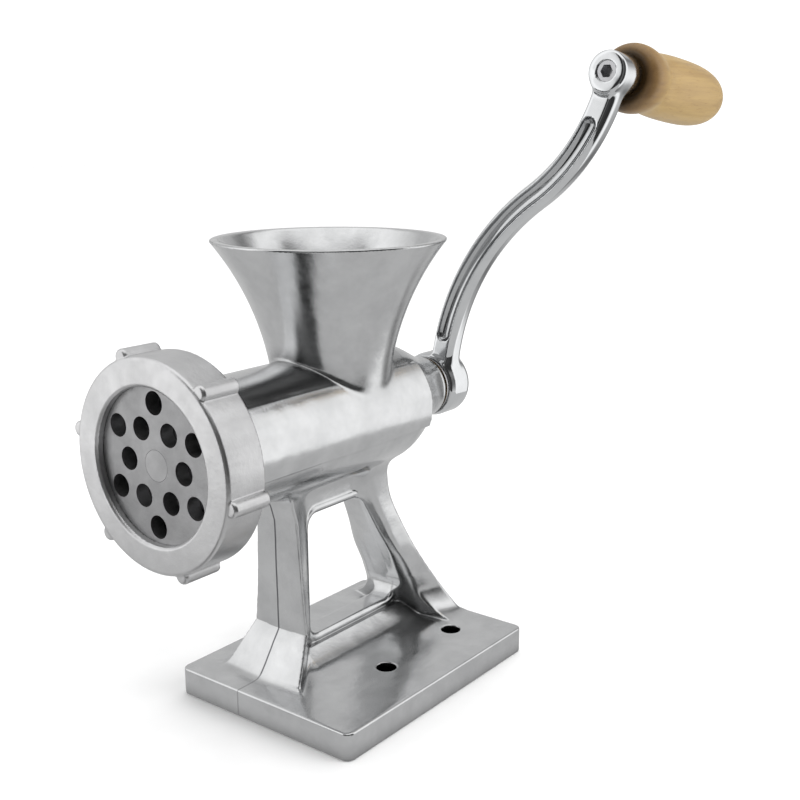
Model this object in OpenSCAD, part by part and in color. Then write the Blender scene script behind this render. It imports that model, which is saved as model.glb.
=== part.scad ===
// Hand crank meat grinder on a screw-down base.
// Frame: X across the base, Y from the outlet (front, -Y) to the crank (rear, +Y), Z up.
// The origin lies on the underside of the base, below the centre line of the hopper.

/* [Base plate] */
// Width of the base plate, across the barrel
base_w = 77; // [68:1:92]
// Length of the base plate, along the barrel
base_l = 101; // [92:1:122]
// Thickness of the base plate
base_t = 9.7; // [8:0.1:12]
// Distance from the barrel's centre plane to the wide side's edge
base_reach = 49; // [42:1:60]
// Radius of the base plate's vertical corners
base_corner_r = 3; // [1:0.5:8]
// Diameter of the two bench holes
bench_hole_d = 7; // [5:0.1:9]
// Distance of the bench holes from the barrel's centre plane
bench_hole_x = 29; // [26:0.5:35]
// Distance between the bench holes
bench_hole_pitch = 38.6; // [30:0.1:46]
// Distance of the bench holes' middle behind the hopper's axis
bench_hole_mid = 12.6; // [8:0.1:16]
// Depth of the lightening pockets in the underside
pocket_depth = 3.5; // [2:0.1:5]

/* [Stand] */
// Height of the barrel's axis above the bench
axis_h = 95.3; // [80:0.1:116]
// Thickness of the web that frames the window
web_t = 7.6; // [6:0.1:10]
// Height of the window's sill above the base plate
sill_h = 8.4; // [7:0.1:12]
// Height of the web between the window and the barrel
lintel_h = 10.2; // [8:0.1:13]
// Radius of the window's corners
window_corner_r = 5; // [3:0.5:8]
// Width of the raised bead round the window
bead_w = 2.6; // [1.5:0.1:4]
// Height of the raised bead round the window
bead_h = 0.8; // [0.4:0.1:1.5]

/* [Barrel] */
// Outer diameter of the barrel
barrel_d = 44; // [37:0.5:53]
// Wall of the barrel
barrel_wall = 3; // [2:0.1:4]
// Distance from the hopper's axis forward to the seat of the cutting plate
front_len = 74.6; // [62:0.1:90]
// Distance from the hopper's axis back to the rear end of the barrel
rear_len = 52.5; // [50:0.1:58]
// Radius of the rear bearing housing
neck_r = 11.6; // [11.2:0.1:14]

/* [Hopper] */
// Height of the hopper's rim above the barrel's axis
hopper_h = 61.4; // [54:0.1:74]
// Radius of the hopper's rim
hopper_rim_r = 40.1; // [36:0.1:48]
// Wall of the hopper
hopper_wall = 2.6; // [2:0.1:3.5]
// Radius of the flare's arc
flare_r = 95; // [80:1:120]

/* [Cutting plate and ring nut] */
// Diameter of the cutting plate
plate_d = 54; // [46:0.5:65]
// Thickness of the cutting plate
plate_t = 5; // [4:0.1:6.5]
// Diameter of the mincing holes, in a plate of 54
mince_hole_d = 7.4; // [4:0.1:8]
// Radius of the inner circle of mincing holes, in a plate of 54
mince_inner_r = 12.2; // [11.5:0.1:13]
// Radius of the outer circle of mincing holes, in a plate of 54
mince_outer_r = 19.4; // [18.5:0.1:20]
// Turn of the hole pattern about the barrel's axis
hole_turn = 1.2; // [-30:0.1:30]
// Depth to which the plate sits in the barrel's mouth
seat_depth = 2.8; // [1.5:0.1:3.5]
// Wall of the threaded collar round the plate
collar_wall = 2.5; // [2:0.1:4]
// Wall of the ring nut over its thread
ring_wall = 4; // [3:0.1:6]
// Length of the ring nut
ring_len = 14.7; // [12:0.1:18]
// Thickness of the ring nut's front lip
ring_lip_t = 2.8; // [2:0.1:3.4]
// Width by which the lip overlaps the plate
ring_lip_w = 2.5; // [1.5:0.1:2.6]
// Radius of the ring nut's six gripping lugs
lug_r = 2.6; // [2:0.1:3.6]
// Turn of the lugs about the barrel's axis at rest
lug_turn = 11; // [-30:1:30]

/* [Knife and auger] */
// Gap round the knife's blades
knife_gap = 1.2; // [0.6:0.1:2]
// Thickness of the knife
knife_t = 7; // [5:0.1:8]
// Width across flats of the front stud's square
stud_square = 9.8; // [9:0.1:11]
// Radius of the front stud's journal in the cutting plate
stud_r = 4.9; // [4:0.05:5]
// Radius of the auger's core
core_r = 10.5; // [9.5:0.1:12]
// Axial distance between the auger's turns
flight_pitch = 22; // [18:0.5:28]
// Thickness of the auger's flight at its edge
flight_t = 2.6; // [2:0.1:4]

/* [Drive shaft and crank] */
// Radius of the shaft's journal
shaft_r = 7; // [6.5:0.1:8]
// Wall of the rear bush
bush_wall = 2.4; // [1.5:0.1:3]
// Width across flats of the shaft's square end
shaft_square = 9.6; // [8:0.1:10]
// Radius of the crank's hub
hub_r = 12.5; // [11:0.1:15]
// Length of the crank's hub
hub_len = 13.6; // [12:0.1:17]
// Width of the crank's arm
arm_w = 9.4; // [7:0.1:12]
// Depth of the crank's arm, along the barrel
arm_d = 9.1; // [7:0.1:11]
// Radius of the arm's lower bend
bend_low_r = 92; // [80:1:110]
// Angle that the arm's lower bend turns through
bend_low_a = 54; // [45:1:58]
// Radius of the arm's upper bend
bend_high_r = 71; // [55:1:78]
// Angle that the arm's upper bend turns back through
bend_high_a = 41.4; // [36:0.1:46]
// Radius of the boss at the arm's end
boss_r = 7; // [6:0.1:9]
// Length of the boss
boss_len = 12; // [10:0.1:15]

/* [Grip] */
// Length of the wooden grip
grip_len = 67.5; // [56:0.5:81]
// Radius of the grip's body
grip_r = 11.3; // [9.6:0.1:13.6]
// Radius of the grip's bead, beside the crank
grip_bead_r = 11.7; // [10.4:0.1:14]
// Radius of the groove behind the bead
grip_groove_r = 10.2; // [9:0.1:10.4]
// Radius of the spindle in the grip
spindle_r = 3.4; // [2.9:0.1:3.6]
// Angle by which the spindle points below the barrel's axis
grip_cant = 6.3; // [0:0.1:8]

/* [Fits] */
// Radial clearance of the turning and threaded fits
run_fit = 0.05; // [0.02:0.01:0.1]
// Gap between faces that slide past each other
face_gap = 0.15; // [0.1:0.05:0.3]
// Gap between the auger's flight and the bore
flight_gap = 0.4; // [0.3:0.05:1]

/* [Hidden] */
$fn = 72;
eps = 0.5;

// Colours
casting_c = [0.80, 0.81, 0.82];
satin_c = [0.70, 0.71, 0.72];
steel_c = [0.62, 0.63, 0.65];
dark_c = [0.28, 0.28, 0.30];
bronze_c = [0.72, 0.55, 0.33];
nylon_c = [0.90, 0.89, 0.84];
wood_c = [0.80, 0.62, 0.38];

// Barrel, outside and inside
barrel_r = barrel_d / 2;
bore_r = barrel_r - barrel_wall;
shoulder_y = rear_len - 28.5;
thrust_y = rear_len - 12.5;
thrust_r = 13;

// Slopes of the hopper's profile at the throat and at the rim
throat_a = 8;
rim_a = 38;

// How far the hopper's foot stays inside the barrel's radius
throat_inset = 3.312;

// Raised panel on the barrel's flank
panel_h = 0.7;
panel_y0 = -63;
panel_len = 92;

// Stations of the cutting head, towards -Y
seat_y = -front_len;
mouth_y = seat_y - seat_depth;
plate_y = seat_y - plate_t;
ring_y = plate_y - ring_lip_t;
ring_back_y = ring_y + ring_len;
plate_r = plate_d / 2;
mince_scale = plate_d / 54;
pocket_r = plate_r + run_fit;
collar_r = pocket_r + collar_wall;
ring_bore_r = collar_r + 2 * run_fit;
ring_r = ring_bore_r + ring_wall;
ring_open_r = plate_r - ring_lip_w;
chamber_r = plate_r - 2.4;
knife_r = chamber_r - knife_gap;
flare_back_y = ring_back_y + 9.5;
key_r = 1.2;
key_pos_r = plate_r + 0.3;

// Auger
flight_r = bore_r - flight_gap;
knife_back_y = seat_y + face_gap + knife_t;
auger_front_y = knife_back_y + 0.6;
boss_y = 27;
auger_boss_r = 12.4;
washer_t = 1.5;
auger_back_y = thrust_y - washer_t - face_gap;
stud_thread_r = 4;
stud_thread_len = 14;

// Drive shaft and crank
shaft_front_y = -5;
bush_r = shaft_r + run_fit + bush_wall;
flange_t = 1.5;
flange_y = rear_len + flange_t;
spacer_t = 1;
hub_y = flange_y + face_gap + spacer_t;
square_len = 7.4;
hub_seat_y = hub_y + square_len;
shaft_back_y = hub_seat_y - 0.5;
screw_r = 3;
screw_len = 14;
crank_washer_t = 1.2;
lock_washer_t = 1.4;
screw_head_t = 3.2;
screw_head_r = 5.2;
recess_r = 7.9;
pin_r = 1.6;
pin_y = 33;

// Arm: its centre line leaves the hub beside its middle and ends in the boss
arm_y = hub_y + 1.4;
arm_start = [4.2, 0];
arm_start_a = 1.6;
slot_w = arm_w - 3.4;
slot_depth = 3;
bend_mid_a = arm_start_a + bend_low_a;
bend_end_a = bend_mid_a - bend_high_a;
bend_mid = arm_start + bend_low_r * [cos(arm_start_a) - cos(bend_mid_a), sin(bend_mid_a) - sin(arm_start_a)];
boss_pos = bend_mid + bend_high_r * [cos(bend_end_a) - cos(bend_mid_a), sin(bend_mid_a) - sin(bend_end_a)];

// Spindle stations, measured from the middle of the boss
boss_mid_y = arm_y + 4.8;
spindle_washer_t = 1.2;
grip_start = boss_len / 2 + spindle_washer_t + face_gap;
grip_end = grip_start + grip_len;
grip_recess = 5.4;
grip_recess_r = 5;
spindle_head_t = 3;

// ---- Helpers -------------------------------------------------------------

// Puts children's +Z on the barrel's axis, towards +Y, starting at the station y
module on_axis(y) {
    translate([0, y, axis_h]) rotate([-90, 0, 0]) children();
}

// Puts children's +Z on the grip's spindle, starting at the distance s from the boss
module on_spindle(s) {
    translate([boss_pos[0], boss_mid_y, axis_h + boss_pos[1]])
        rotate([-90 - grip_cant, 0, 0]) translate([0, 0, s]) children();
}

// Flat ring
module washer(r_out, r_in, t) {
    difference() {
        cylinder(r = r_out, h = t);
        translate([0, 0, -eps]) cylinder(r = r_in, h = t + 2 * eps);
    }
}

// Square bar centred on Z
module square_bar(af, h) {
    translate([-af / 2, -af / 2, 0]) cube([af, af, h]);
}

// Solid through a stack of level outlines; a section is [z, [[x, y], ...]], counter-clockwise
module loft(sections) {
    n = len(sections[0][1]);
    top = (len(sections) - 1) * n;
    points = [for (s = sections) for (p = s[1]) [p[0], p[1], s[0]]];
    sides = [for (j = [0:len(sections) - 2]) for (i = [0:n - 1])
        let (a = j * n + i, b = j * n + (i + 1) % n)
        each [[a, a + n, b + n], [a, b + n, b]]];
    caps = [[for (i = [0:n - 1]) i], [for (i = [n - 1:-1:0]) top + i]];
    polyhedron(points = points, faces = concat(sides, caps));
}

// ---- Casting -------------------------------------------------------------

// Height at the fraction f of the way from the base plate up to the barrel
function stand_z(f) = base_t + f * (axis_h - barrel_r - base_t);

// Front leg at one height: a shallow ridge in front, narrowing to the web behind
function front_leg_section(z, half_w, ridge_y) =
    [z, [[0, ridge_y], [half_w, ridge_y + 1.2], [web_t / 2, -18.4],
        [-web_t / 2, -18.4], [-half_w, ridge_y + 1.2]]];

// Rear leg at one height: side ridges behind the web, and rear edges
function rear_leg_section(z, ridge, back) =
    [z, [[-web_t / 2, ridge[1] - 5], [web_t / 2, ridge[1] - 5], ridge, back, [0, back[1] + 1.2],
        [-back[0], back[1]], [-ridge[0], ridge[1]]]];

module front_leg() {
    loft([
        front_leg_section(base_t - 1, 18, -40.9),
        front_leg_section(stand_z(0.235), 12.5, -29.9),
        front_leg_section(stand_z(0.445), 11.2, -29.9),
        front_leg_section(stand_z(0.86), 9.6, -30.4),
        front_leg_section(stand_z(1.0), 9.4, -33),
        front_leg_section(stand_z(1.1), 9.2, -36)]);
}

module rear_leg() {
    loft([
        rear_leg_section(base_t - 1, [26, 39], [22.5, 49.6]),
        rear_leg_section(stand_z(0.045), [18.5, 36.5], [19.5, 48.2]),
        rear_leg_section(stand_z(0.12), [14, 34], [16.8, 46]),
        rear_leg_section(stand_z(0.28), [11.8, 29.5], [14, 39.6]),
        rear_leg_section(stand_z(0.46), [11, 23.4], [12, 32.4]),
        rear_leg_section(stand_z(0.63), [9.4, 18.6], [10, 27.1]),
        rear_leg_section(stand_z(0.81), [8.4, 13.8], [8.5, 22.4]),
        rear_leg_section(stand_z(1.0), [8.6, 10.2], [8.5, 20.6]),
        rear_leg_section(stand_z(1.1), [9, 9], [9, 20])]);
}

// Corners of the window in the Y-Z plane, from the lower front one round
function window_corners() = let (z0 = base_t + sill_h, z1 = axis_h - barrel_r - lintel_h)
    [[-18.4, z0], [31.8, z0], [9.4, z1], [-18.4, z1]];

module window_outline(grow) {
    c = window_corners();
    r = window_corner_r;
    // each circle lies inside its corner; the rear corners' angles shift it along Y
    hull() {
        translate(c[0] + [r, r]) circle(r = r + grow, $fn = 32);
        translate(c[1] + [-1.6 * r, r]) circle(r = r + grow, $fn = 32);
        translate(c[2] + [-0.65 * r, -r]) circle(r = r + grow, $fn = 32);
        translate(c[3] + [r, -r]) circle(r = r + grow, $fn = 32);
    }
}

// Puts a Y-Z outline on the centre plane and thickens it both ways
module across(t) {
    translate([-t / 2, 0, 0]) rotate([90, 0, 90]) linear_extrude(t) children();
}

module web() {
    lower = base_t + sill_h;
    across(web_t) polygon([[-30, base_t - 1], [42, base_t - 1], [33, lower], [12, stand_z(0.84)],
        [12, axis_h - bore_r], [-22, axis_h - bore_r], [-22, stand_z(0.5)]]);
    // flared foot of the web on the base plate
    translate([0, -30, 0]) rotate([-90, 0, 0]) linear_extrude(72)
        polygon([[-web_t / 2, -lower], [web_t / 2, -lower], [7.2, -base_t - 4.2],
            [14, 1 - base_t], [-14, 1 - base_t], [-7.2, -base_t - 4.2]]);
}

module window_bead() {
    across(web_t + 2 * bead_h) difference() {
        window_outline(bead_w);
        window_outline(0);
    }
}

// Base plate outline with round corners
module base_outline() {
    r = base_corner_r;
    x0 = base_reach - base_w;
    translate([x0 + r, -base_l / 2]) square([base_w - 2 * r, base_l]);
    translate([x0, r - base_l / 2]) square([base_w, base_l - 2 * r]);
    for (x = [x0 + r, base_reach - r], y = [r - base_l / 2, base_l / 2 - r])
        translate([x, y]) circle(r = r);
}

module base_pockets() {
    rim = 5;
    spine = 8;
    y0 = rim - base_l / 2;
    left_w = base_w - base_reach - rim - spine;
    translate([-spine - left_w, y0, -eps]) cube([left_w, base_l - 2 * rim, pocket_depth + eps]);
    difference() {
        translate([spine, y0, -eps]) cube([base_reach - rim - spine, base_l - 2 * rim, pocket_depth + eps]);
        for (s = [-0.5, 0.5]) translate([bench_hole_x, bench_hole_mid + s * bench_hole_pitch, -1])
            cylinder(r = bench_hole_d / 2 + 4.5, h = pocket_depth + 2);
    }
}

module bench_holes() {
    for (s = [-0.5, 0.5]) translate([bench_hole_x, bench_hole_mid + s * bench_hole_pitch, -eps])
        cylinder(d = bench_hole_d, h = base_t + 2 * eps);
}

// Tapering rear end of the barrel, from its full radius to the bearing housing
function taper(y0, y1) = [for (i = [0:10]) let (u = i / 10)
    [barrel_r - (barrel_r - neck_r) * (0.5 * u + 0.25 * (1 - cos(180 * u))), y0 + u * (y1 - y0)]];

module barrel_outside() {
    on_axis(0) rotate_extrude() polygon(concat(
        [[0, mouth_y], [collar_r, mouth_y], [collar_r, ring_back_y + 0.7]],
        [for (a = [75:-15:0]) let (w = collar_r - barrel_r, l = flare_back_y - ring_back_y - 0.7)
            [barrel_r + w * (1 - cos(a)), flare_back_y - l * sin(a)]],
        taper(shoulder_y, rear_len - 1.3),
        [[neck_r, rear_len], [0, rear_len]]));
}

module barrel_inside() {
    on_axis(0) rotate_extrude() polygon([
        [0, mouth_y - eps], [pocket_r, mouth_y - eps], [pocket_r, seat_y], [chamber_r, seat_y],
        [chamber_r, seat_y + knife_t + 1.2], [bore_r, seat_y + knife_t + 5.6],
        [bore_r, shoulder_y + 2], [thrust_r, thrust_y], [bush_r, thrust_y],
        [bush_r, rear_len + eps], [0, rear_len + eps]]);
}

// Hopper profile, offset inwards by the wall w: a steep cone below, an arc to the rim above
function hopper_profile(w, a0, a1) = [for (i = [0:12]) let (a = a0 + (a1 - a0) * i / 12)
    [hopper_rim_r + flare_r * (cos(rim_a) - cos(a)) - w / cos(a),
        axis_h + hopper_h - 0.5 + flare_r * (sin(a) - sin(rim_a))]];

module hopper_solid(w, top) {
    arc = hopper_profile(w, throat_a, rim_a);
    foot_r = barrel_r - throat_inset - w / cos(throat_a);
    rotate_extrude() polygon(concat(
        [[0, axis_h], [foot_r, axis_h]], arc,
        [[arc[12][0] + top, axis_h + hopper_h + top], [0, axis_h + hopper_h + top]]));
}

// Plain raised panel along the barrel's flank, on the side of the bench holes
module flank_panel() {
    intersection() {
        on_axis(panel_y0) washer(barrel_r + panel_h, barrel_r - 1, panel_len);
        translate([barrel_r / 2, panel_y0 - 1, axis_h - 7.5]) cube([barrel_r, panel_len + 2, 23]);
    }
}

module body_casting() {
    color(casting_c) difference() {
        union() {
            barrel_outside();
            hopper_solid(0, 0);
            difference() {
                union() {
                    front_leg();
                    rear_leg();
                    web();
                    window_bead();
                }
                across(3 * web_t) window_outline(0);
            }
            linear_extrude(base_t) base_outline();
            flank_panel();
        }
        barrel_inside();
        hopper_solid(hopper_wall, eps);
        bench_holes();
        base_pockets();
        on_axis(mouth_y + 0.4) translate([0, -key_pos_r, 0]) cylinder(r = key_r, h = seat_depth + 4);
    }
}

// ---- Cutting head --------------------------------------------------------

module plate_key() {
    color(steel_c) on_axis(mouth_y + 0.4) translate([0, -key_pos_r, 0])
        cylinder(r = key_r, h = seat_depth + 4);
}

module cutting_plate() {
    color(steel_c) on_axis(plate_y) difference() {
        cylinder(r = plate_r, h = plate_t);
        translate([0, 0, -eps]) cylinder(r = stud_r + 2 * run_fit, h = plate_t + 2 * eps);
        for (a = [0:60:300]) rotate([0, 0, a + hole_turn]) translate([mince_inner_r * mince_scale, 0, -eps])
            cylinder(d = mince_hole_d * mince_scale, h = plate_t + 2 * eps);
        for (a = [30:60:330]) rotate([0, 0, a + hole_turn]) translate([mince_outer_r * mince_scale, 0, -eps])
            cylinder(d = mince_hole_d * mince_scale, h = plate_t + 2 * eps);
        translate([0, -key_pos_r, -eps]) cylinder(r = key_r + face_gap, h = plate_t + 2 * eps);
    }
}

module ring_nut() {
    round_r = 1.2;
    color(satin_c) difference() {
        union() {
            on_axis(ring_y) rotate_extrude() polygon(concat(
                [[0, 0]],
                [for (a = [0:15:90]) [ring_r - round_r + round_r * sin(a), round_r * (1 - cos(a))]],
                [[ring_r, ring_len], [0, ring_len]]));
            for (i = [0:5]) on_axis(ring_y) rotate([0, 0, lug_turn + 60 * i])
                translate([ring_r + 0.2, 0, 0]) rotate_extrude() polygon([[0, 0.5], [lug_r - 0.9, 0.5],
                    [lug_r, 1.4], [lug_r, ring_len - 0.3], [0, ring_len - 0.3]]);
        }
        on_axis(ring_y - eps) cylinder(r = ring_open_r, h = ring_lip_t + 2 * eps);
        on_axis(plate_y) cylinder(r = ring_bore_r, h = ring_len);
    }
}

module knife() {
    tip_w = 8;
    root_w = 6;
    hub = 8.8;
    square_fit = 0.1;
    color(steel_c) on_axis(seat_y + face_gap) difference() {
        intersection() {
            union() {
                cylinder(r = hub, h = knife_t);
                for (a = [0:90:270]) rotate([0, 0, a + 20]) linear_extrude(knife_t)
                    polygon([[0, -root_w / 2], [knife_r, -1], [knife_r, tip_w - 1], [0, root_w / 2]]);
            }
            cylinder(r = knife_r, h = knife_t);
        }
        // relief behind each cutting edge
        for (a = [0:90:270]) rotate([0, 0, a + 20]) translate([hub + 1, 1.5, knife_t])
            rotate([-22, 0, 0]) cube([knife_r, tip_w + 6, knife_t]);
        translate([0, 0, -eps]) square_bar(stud_square + 2 * square_fit, knife_t + 2 * eps);
    }
}

// ---- Auger and drive -----------------------------------------------------

module front_stud() {
    color(steel_c) union() {
        on_axis(auger_front_y) cylinder(r = stud_thread_r, h = stud_thread_len);
        on_axis(seat_y + 0.3) square_bar(stud_square, auger_front_y - seat_y - 0.3);
        on_axis(plate_y) cylinder(r = stud_r, h = seat_y + 0.3 - plate_y);
    }
}

// Left-hand flight, so that clockwise cranking pushes towards the plate
module flight(y0, y1) {
    steps = 22;
    n = floor((y1 - y0) / flight_pitch * steps);
    root = core_r - 0.8;
    root_t = flight_t + 3;
    section = [[root, -root_t / 2], [flight_r, -flight_t / 2], [flight_r, flight_t / 2], [root, root_t / 2]];
    points = [for (i = [0:n]) let (a = -360 * i / steps, y = y0 + flight_pitch * i / steps)
        for (p = section) [p[0] * cos(a), p[0] * sin(a), y + p[1]]];
    sides = [for (i = [0:n - 1]) for (j = [0:3])
        let (a = 4 * i + j, b = 4 * i + (j + 1) % 4)
        each [[a, a + 4, b + 4], [a, b + 4, b]]];
    caps = [[0, 1, 2, 3], [for (j = [3:-1:0]) 4 * n + j]];
    polyhedron(points = points, faces = concat(sides, caps));
}

module auger() {
    color(casting_c) difference() {
        union() {
            on_axis(0) rotate_extrude() polygon([[0, auger_front_y], [core_r, auger_front_y],
                [core_r, boss_y], [auger_boss_r, boss_y + 2], [auger_boss_r, auger_back_y],
                [0, auger_back_y]]);
            on_axis(0) flight(auger_front_y + 4, boss_y - 4);
        }
        on_axis(auger_front_y - eps) cylinder(r = stud_thread_r, h = stud_thread_len + eps);
        on_axis(shaft_front_y) cylinder(r = shaft_r, h = auger_back_y - shaft_front_y + eps);
        on_axis(pin_y) rotate([0, 90, 0]) translate([0, 0, -auger_boss_r - eps])
            cylinder(r = pin_r, h = 2 * auger_boss_r + 2 * eps);
    }
}

module auger_pin() {
    color(steel_c) on_axis(pin_y) rotate([0, 90, 0]) translate([0, 0, 0.5 - auger_boss_r])
        cylinder(r = pin_r, h = 2 * auger_boss_r - 1);
}

module drive_shaft() {
    color(steel_c) difference() {
        union() {
            on_axis(shaft_front_y) cylinder(r = shaft_r, h = hub_y - shaft_front_y);
            on_axis(hub_y) square_bar(shaft_square, shaft_back_y - hub_y);
        }
        on_axis(pin_y) rotate([0, 90, 0]) translate([0, 0, -shaft_r - eps])
            cylinder(r = pin_r, h = 2 * shaft_r + 2 * eps);
        on_axis(shaft_back_y - screw_len) cylinder(r = screw_r, h = screw_len + eps);
    }
}

module shaft_bush() {
    color(bronze_c) union() {
        on_axis(thrust_y) washer(bush_r, shaft_r + run_fit, rear_len - thrust_y);
        on_axis(rear_len) washer(neck_r - 1.2, shaft_r + run_fit, flange_t);
    }
}

module thrust_washer() {
    color(nylon_c) on_axis(thrust_y - washer_t) washer(thrust_r - 0.4, shaft_r + run_fit, washer_t);
}

module crank_spacer() {
    color(dark_c) on_axis(hub_y - spacer_t) washer(neck_r - 0.6, shaft_r, spacer_t);
}

// ---- Crank ---------------------------------------------------------------

// Points of the arm's centre line, shifted sideways by d, from the fraction f0 to f1 of each bend
function low_bend(d, f0, f1) = [for (i = [0:12]) let (a = arm_start_a + bend_low_a * (f0 + (f1 - f0) * i / 12))
    arm_start + [bend_low_r * (cos(arm_start_a) - cos(a)) + d * cos(a),
        bend_low_r * (sin(a) - sin(arm_start_a)) - d * sin(a)]];
function high_bend(d, f0, f1) = [for (i = [0:10]) let (a = bend_mid_a - bend_high_a * (f0 + (f1 - f0) * i / 10))
    bend_mid + [bend_high_r * (cos(a) - cos(bend_mid_a)) + d * cos(a),
        bend_high_r * (sin(bend_mid_a) - sin(a)) - d * sin(a)]];
function reversed(list) = [for (i = [len(list) - 1:-1:0]) list[i]];

// Round end of a strip of width w, at the point p, its middle facing the angle a from +Z towards +X
function round_end(p, w, a) = [for (t = [60:-30:-60]) p + w / 2 * [sin(a - t), cos(a - t)]];

// Strip of width w along the arm, in the plane of the crank, with round ends if asked
module arm_strip(w, f0, f1, rounded = false) {
    a0 = arm_start_a + bend_low_a * f0;
    a1 = bend_mid_a - bend_high_a * f1;
    foot = rounded ? round_end(low_bend(0, f0, 1)[0], w, a0 + 180) : [];
    tip = rounded ? round_end(high_bend(0, 0, f1)[10], w, a1) : [];
    polygon(concat(low_bend(-w / 2, f0, 1), high_bend(-w / 2, 0.08, f1), tip,
        reversed(high_bend(w / 2, 0.08, f1)), reversed(low_bend(w / 2, f0, 1)), foot));
}

module in_crank_plane(y) {
    translate([0, y, axis_h]) rotate([90, 0, 0]) mirror([0, 0, 1]) children();
}

module crank_arm() {
    hub_round = 3;
    arm_end = 0.97;
    slot_ends = [0.24, 0.65];
    color(casting_c) difference() {
        union() {
            on_axis(hub_y) rotate_extrude() polygon(concat(
                [[0, 0], [hub_r - 1, 0], [hub_r, 3]],
                [for (a = [0:15:90]) [hub_r - hub_round + hub_round * cos(a),
                    hub_len - hub_round + hub_round * sin(a)]],
                [[0, hub_len]]));
            in_crank_plane(arm_y) linear_extrude(arm_d) arm_strip(arm_w, 0, arm_end);
            on_spindle(0) rotate_extrude() polygon([[0, -boss_len / 2], [boss_r - 0.9, -boss_len / 2],
                [boss_r, 1.6 - boss_len / 2], [boss_r, boss_len / 2 - 0.6], [boss_r - 0.6, boss_len / 2],
                [0, boss_len / 2]]);
        }
        in_crank_plane(arm_y - eps) linear_extrude(slot_depth + eps)
            arm_strip(slot_w, slot_ends[0], slot_ends[1], rounded = true);
        on_axis(hub_y - eps) square_bar(shaft_square + 0.1, square_len + 2 * eps);
        on_axis(hub_seat_y) cylinder(r = recess_r, h = hub_len);
        on_spindle(-boss_len) cylinder(r = spindle_r, h = 2 * boss_len);
    }
}

module crank_washer() {
    color(steel_c) on_axis(hub_seat_y) washer(recess_r - 0.3, screw_r + 0.2, crank_washer_t);
}

module crank_lock_washer() {
    color(steel_c) on_axis(hub_seat_y + crank_washer_t) difference() {
        washer(5.4, screw_r + 0.1, lock_washer_t);
        rotate([0, 0, 40]) translate([0, -0.5, -eps]) cube([8, 1, lock_washer_t + 2 * eps]);
    }
}

module crank_screw() {
    head_y = hub_seat_y + crank_washer_t + lock_washer_t;
    color(steel_c) difference() {
        union() {
            on_axis(head_y) cylinder(r = screw_head_r, h = screw_head_t);
            on_axis(shaft_back_y - screw_len) cylinder(r = screw_r, h = head_y - shaft_back_y + screw_len);
        }
        on_axis(head_y + screw_head_t - 2.2) cylinder(r = 2.9, h = 3, $fn = 6);
    }
}

// ---- Grip ----------------------------------------------------------------

module grip_spindle() {
    hex_r = 2.3;
    color(steel_c) difference() {
        union() {
            on_spindle(0.4 - boss_len / 2) cylinder(r = spindle_r, h = boss_len - 0.4);
            on_spindle(boss_len / 2)
                cylinder(r = spindle_r, h = grip_end - grip_recess + spindle_washer_t - boss_len / 2);
            on_spindle(grip_end - grip_recess + spindle_washer_t) cylinder(r = 4.5, h = spindle_head_t);
        }
        on_spindle(-boss_len / 2) cylinder(r = hex_r, h = 4, $fn = 6);
        on_spindle(grip_end - grip_recess + spindle_washer_t + 1) cylinder(r = hex_r, h = 4, $fn = 6);
    }
}

module grip_inner_washer() {
    color(steel_c) on_spindle(boss_len / 2) washer(6.2, spindle_r, spindle_washer_t);
}

module grip_outer_washer() {
    color(steel_c) on_spindle(grip_end - grip_recess + face_gap)
        washer(grip_recess_r - 0.4, spindle_r, spindle_washer_t - face_gap);
}

module grip() {
    bead_len = 14.5;
    body_start = 17;
    nose_len = grip_len * 0.3;
    nose_cut = acos((grip_recess_r + 1.2) / grip_r);
    color(wood_c) difference() {
        on_spindle(grip_start) rotate_extrude() polygon(concat(
            [[0, 0]],
            // bead: a rounded front edge, then a slow fall to the groove
            [for (a = [-60:20:0]) [grip_bead_r - 5 * (1 - cos(a)), 5 + 5.8 * sin(a)]],
            [for (f = [0.25:0.25:1])
                [grip_bead_r - (grip_bead_r - grip_groove_r) * f * f, 5 + (bead_len - 5) * f]],
            [[grip_r - 0.6, body_start + 1], [grip_r - 0.2, body_start + 10]],
            // nose: an elliptical end
            [for (i = [0:10]) let (a = nose_cut * i / 10)
                [grip_r * cos(a), grip_len - nose_len + nose_len * sin(a) / sin(nose_cut)]],
            [[0, grip_len]]));
        on_spindle(0) cylinder(r = spindle_r + run_fit, h = grip_end + 1);
        on_spindle(grip_end - grip_recess) cylinder(r = grip_recess_r, h = grip_recess + 1);
    }
}

body_casting();
plate_key();
shaft_bush();
thrust_washer();
cutting_plate();
ring_nut();
knife();
front_stud();
auger();
auger_pin();
drive_shaft();
crank_spacer();
crank_arm();
crank_washer();
crank_lock_washer();
crank_screw();
grip_spindle();
grip_inner_washer();
grip_outer_washer();
grip();
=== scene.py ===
import functools
import math

import bmesh
import bpy
import numpy as np
from mathutils import Matrix, Vector


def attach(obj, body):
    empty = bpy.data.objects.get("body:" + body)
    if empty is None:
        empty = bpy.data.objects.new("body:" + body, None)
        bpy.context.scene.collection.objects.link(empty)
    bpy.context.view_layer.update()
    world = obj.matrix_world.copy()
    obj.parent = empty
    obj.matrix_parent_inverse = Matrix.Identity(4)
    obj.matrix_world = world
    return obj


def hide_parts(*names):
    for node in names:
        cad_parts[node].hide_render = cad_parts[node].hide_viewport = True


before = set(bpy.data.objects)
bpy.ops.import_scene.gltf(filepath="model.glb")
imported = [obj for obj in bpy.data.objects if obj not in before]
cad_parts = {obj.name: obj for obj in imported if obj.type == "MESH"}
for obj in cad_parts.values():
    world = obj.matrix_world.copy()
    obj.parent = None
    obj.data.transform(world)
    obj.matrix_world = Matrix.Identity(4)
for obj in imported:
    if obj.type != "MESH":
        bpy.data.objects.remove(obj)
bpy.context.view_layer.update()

scene = bpy.context.scene
MM = 0.001

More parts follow.
